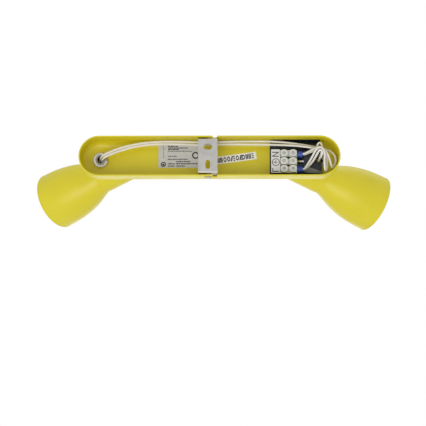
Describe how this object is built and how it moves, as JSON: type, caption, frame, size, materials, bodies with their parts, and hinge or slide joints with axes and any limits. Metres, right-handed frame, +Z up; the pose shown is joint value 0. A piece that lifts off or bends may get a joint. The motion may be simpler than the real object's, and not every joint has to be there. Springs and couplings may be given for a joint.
{
  "type": "two-head spotlight bar",
  "caption": "Wall or ceiling spotlight bar: a round-ended painted tray with wiring and a wall bracket, carrying bell-shaped heads on swivelling, tilting stems.",
  "frame": {"origin": "middle of the wall bracket's back face, on the wall", "axes": "+Y away from the wall, +Z up, +X along the bar to the right as seen from the wall side"},
  "size_m": [0.3792, 0.1604, 0.0831],
  "materials": {
    "yellow_paint": "satin yellow-green powder coat",
    "zinc_plate": "bright zinc plating, satin",
    "nickel": "bright nickel plating",
    "brass": "plain machined brass",
    "terminal_white": "semi-gloss moulded white thermoplastic",
    "plate_white": null,
    "black_sheet": "smooth black insulating sheet",
    "blue_collar": "translucent blue crimp collars",
    "lead_insulation": "cream-white soft insulation",
    "earth_insulation": "green and yellow insulation",
    "label_paper": "matt printed label",
    "holder_white": "matt moulded heat-proof plastic",
    "grommet_black": "soft black rubber",
    "nylon": "natural nylon"
  },
  "bodies": {
    "wall_bracket": {"wall_bracket": "zinc_plate", "bracket_screw": "zinc_plate", "bracket_pin": "zinc_plate"},
    "bar": {"bar_housing": "yellow_paint", "terminal_body": "terminal_white", "terminal_sleeves": "brass", "terminal_screws": "zinc_plate", "block_pins": "yellow_paint", "marking_plate": "plate_white", "insulating_sheet": "black_sheet", "sheet_cover": "black_sheet", "earth_tag": "nickel", "earth_stud": "zinc_plate", "earth_nut": "zinc_plate", "earth_lead": "earth_insulation", "end_collars": "blue_collar", "end_ferrules": "nickel", "rating_label": "label_paper", "batch_label": "label_paper", "left_neutral_lead": "lead_insulation", "left_live_lead": "lead_insulation", "right_neutral_lead": "lead_insulation", "right_live_lead": "lead_insulation"},
    "left_arm": {"left_swivel_tube": "nickel", "left_swivel_nut": "nickel", "left_lock_washer": "zinc_plate", "left_stem": "yellow_paint", "left_hinge_screw": "nickel", "left_hinge_nut": "nickel", "left_friction_washers": "nylon"},
    "left_head": {"left_lug": "yellow_paint", "left_cup": "yellow_paint", "left_shade": "yellow_paint", "left_lampholder": "holder_white", "left_screw_shell": "nickel", "left_centre_contact": "brass", "left_holder_bracket": "zinc_plate", "left_holder_screws": "zinc_plate", "left_grommet": "grommet_black", "left_holder_leads": "lead_insulation"},
    "right_arm": {"right_swivel_tube": "nickel", "right_swivel_nut": "nickel", "right_lock_washer": "zinc_plate", "right_stem": "yellow_paint", "right_hinge_screw": "nickel", "right_hinge_nut": "nickel", "right_friction_washers": "nylon"},
    "right_head": {"right_lug": "yellow_paint", "right_cup": "yellow_paint", "right_shade": "yellow_paint", "right_lampholder": "holder_white", "right_screw_shell": "nickel", "right_centre_contact": "brass", "right_holder_bracket": "zinc_plate", "right_holder_screws": "zinc_plate", "right_grommet": "grommet_black", "right_holder_leads": "lead_insulation"}
  },
  "joints": [
    {"name": "bar_slide", "type": "slide", "parent": "wall_bracket", "child": "bar", "axis": [-1, 0, 0], "range_m": [0, 0.007]},
    {"name": "left_swivel", "type": "hinge", "parent": "bar", "child": "left_arm", "pos_m": [-0.1105, 0.04, 0], "axis": [0, 1, 0], "range_deg": [-165, 165]},
    {"name": "left_tilt", "type": "hinge", "parent": "left_arm", "child": "left_head", "pos_m": [-0.1105, 0.069, 0], "axis": [-0.3453, 0, 0.9385], "range_deg": [-49, 31]},
    {"name": "right_swivel", "type": "hinge", "parent": "bar", "child": "right_arm", "pos_m": [0.1105, 0.04, 0], "axis": [0, 1, 0], "range_deg": [-165, 165]},
    {"name": "right_tilt", "type": "hinge", "parent": "right_arm", "child": "right_head", "pos_m": [0.1105, 0.069, 0], "axis": [-0.3778, 0, -0.9259], "range_deg": [-58.5, 21.5]}
  ]
}
